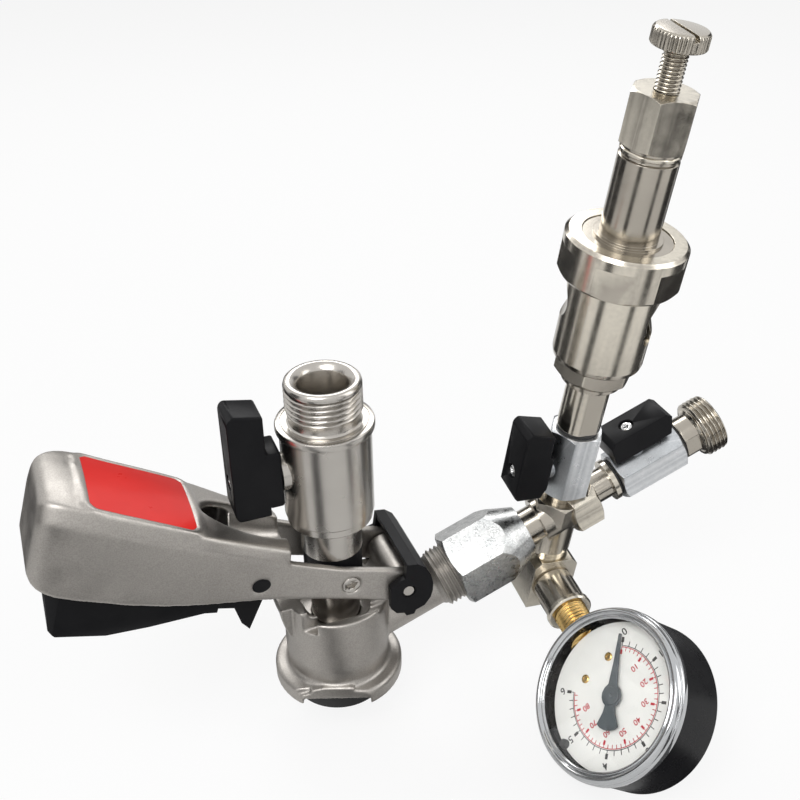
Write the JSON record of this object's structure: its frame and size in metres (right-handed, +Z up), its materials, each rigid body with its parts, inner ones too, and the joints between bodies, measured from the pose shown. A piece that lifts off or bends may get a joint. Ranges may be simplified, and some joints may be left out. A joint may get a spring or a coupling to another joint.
{
  "type": "keg coupler with gas manifold",
  "caption": "Keg filling head: lever-operated coupler with trigger grip, ball valve on its probe, and a side gas manifold with pressure gauge, ball valves and adjustable relief valve.",
  "frame": {"origin": "on the coupler's axis, in the plane of the keg seal's lower face", "axes": "+Z up along the coupler's axis, away from the keg; -X towards the lever's handle, +X towards the gas side; -Y towards the gauge"},
  "size_m": [0.2643, 0.1209, 0.2554],
  "materials": {
    "cast_steel": "bead-blasted casting, warm grey",
    "polished_steel": "polished stainless",
    "bright_zinc": "bright zinc with a fine speckle",
    "nickel_plate": "nickel-plated, polished",
    "satin_chrome": "satin chrome over brass",
    "raw_brass": "bare brass",
    "black_plastic": "satin",
    "black_rubber": "matte",
    "white_seat": "waxy white",
    "handle_screw": "bright zinc",
    "red_label": "glossy, blank",
    "spring_steel": "bright wire",
    "black_case": "satin black",
    "clear_bezel": "clear and glossy, with bright rims",
    "clear_lens": "clear",
    "dial_white": "matt white with printed ticks",
    "pointer_grey": "matt"
  },
  "bodies": {
    "coupler": {"bleed_stub": "nickel_plate", "bleed_valve_body": "satin_chrome", "bottom_seal": "black_rubber", "bourdon_tube": "raw_brass", "branch_block": "nickel_plate", "coupler_body": "cast_steel", "gas_inlet": "nickel_plate", "gas_lip_valve": "black_rubber", "gas_nipple": "nickel_plate", "gas_sleeve": "bright_zinc", "gas_valve_body": "satin_chrome", "gauge_adapter": "nickel_plate", "gauge_bezel": "clear_bezel", "gauge_case": "black_case", "gauge_dial": "dial_white", "gauge_lens": "clear_lens", "gauge_movement": "raw_brass", "gauge_stem": "raw_brass", "hinge_clip": "black_plastic", "hinge_pin": "polished_steel", "probe_orings": "black_rubber", "relief_body": "nickel_plate", "relief_cap": "nickel_plate", "relief_lock_nut": "nickel_plate", "relief_nipple": "nickel_plate", "relief_spring": "spring_steel", "relief_tube": "nickel_plate", "sleeve_washer": "black_rubber", "small_valve_seats": "white_seat", "tee_body": "nickel_plate", "under_nipple": "nickel_plate", "valve_orings": "black_rubber"},
    "lever": {"lever_handle": "cast_steel", "lever_label": "red_label", "lever_screws": "polished_steel", "trigger_pin": "polished_steel", "trigger_spring": "spring_steel"},
    "trigger": {"trigger": "black_plastic"},
    "probe": {"probe_tube": "polished_steel", "probe_tip_seal": "black_rubber", "probe_collar": "black_plastic", "beer_valve_body": "polished_steel", "beer_valve_end": "polished_steel", "beer_seats": "white_seat"},
    "beer_valve_turner": {"beer_ball": "polished_steel", "beer_stem": "polished_steel", "beer_handle": "black_plastic", "beer_handle_screw": "handle_screw"},
    "gas_valve_turner": {"gas_ball": "polished_steel", "gas_stem": "polished_steel", "gas_handle": "black_plastic", "gas_handle_screw": "handle_screw"},
    "bleed_valve_turner": {"bleed_ball": "polished_steel", "bleed_stem": "polished_steel", "bleed_handle": "black_plastic", "bleed_handle_screw": "handle_screw"},
    "pointer": {"gauge_pointer": "pointer_grey"},
    "spring_plate": {"spring_plate": "raw_brass"},
    "adjusting_screw": {"adjusting_screw": "nickel_plate"},
    "poppet": {"relief_poppet": "raw_brass"}
  },
  "joints": [
    {"name": "lever_swing", "type": "hinge", "parent": "coupler", "child": "lever", "pos_m": [0.0228, 0, 0.04874], "axis": [0, 1, 0], "range_deg": [-26, 0]},
    {"name": "probe_travel", "type": "slide", "parent": "coupler", "child": "probe", "axis": [0, 0, 1], "range_m": [-0.0098, 0]},
    {"name": "trigger_pull", "type": "hinge", "parent": "lever", "child": "trigger", "pos_m": [-0.03032, 0, 0.06646], "axis": [0, 1, 0], "range_deg": [0, 5], "stiffness_Nm_per_rad": 0.15, "springref_deg": -8.59, "deforming": ["trigger_spring"]},
    {"name": "beer_valve_turn", "type": "hinge", "parent": "probe", "child": "beer_valve_turner", "pos_m": [0, 0, 0.1005], "axis": [-1, 0, 0], "range_deg": [-90, 0]},
    {"name": "gas_valve_turn", "type": "hinge", "parent": "coupler", "child": "gas_valve_turner", "pos_m": [0.12593, 0, 0.06738], "axis": [-0.3514, 0, 0.9362], "range_deg": [-90, 0]},
    {"name": "bleed_valve_turn", "type": "hinge", "parent": "coupler", "child": "bleed_valve_turner", "pos_m": [0.0931, -0.00281, 0.07754], "axis": [-0.9952, 0.0139, 0.0973], "range_deg": [-90, 0]},
    {"name": "pointer_turn", "type": "hinge", "parent": "coupler", "child": "pointer", "pos_m": [0.08624, -0.06554, 0.01632], "axis": [-0.7714, -0.0551, 0.634], "range_deg": [-270, 0], "stiffness_Nm_per_rad": 0.002},
    {"name": "relief_feed", "type": "slide", "parent": "coupler", "child": "spring_plate", "axis": [0.095, -0.119, 0.9883], "range_m": [-0.0125, 0.005], "deforming": ["relief_spring"]},
    {"name": "relief_screw_turn", "type": "hinge", "parent": "spring_plate", "child": "adjusting_screw", "pos_m": [0.10511, -0.01785, 0.20247], "axis": [0.095, -0.119, 0.9883], "range_deg": [-3602, 1442]},
    {"name": "poppet_lift", "type": "slide", "parent": "coupler", "child": "poppet", "axis": [0.095, -0.119, 0.9883], "range_m": [0, 0.002], "stiffness_N_per_m": 800, "springref_m": -0.004, "deforming": ["relief_spring"]}
  ],
  "couplings": [
    {"joint": "probe_travel", "follows": "lever_swing", "m_per_rad": 0.02142},
    {"joint": "relief_screw_turn", "follows": "relief_feed", "rad_per_m": 5026.5}
  ]
}
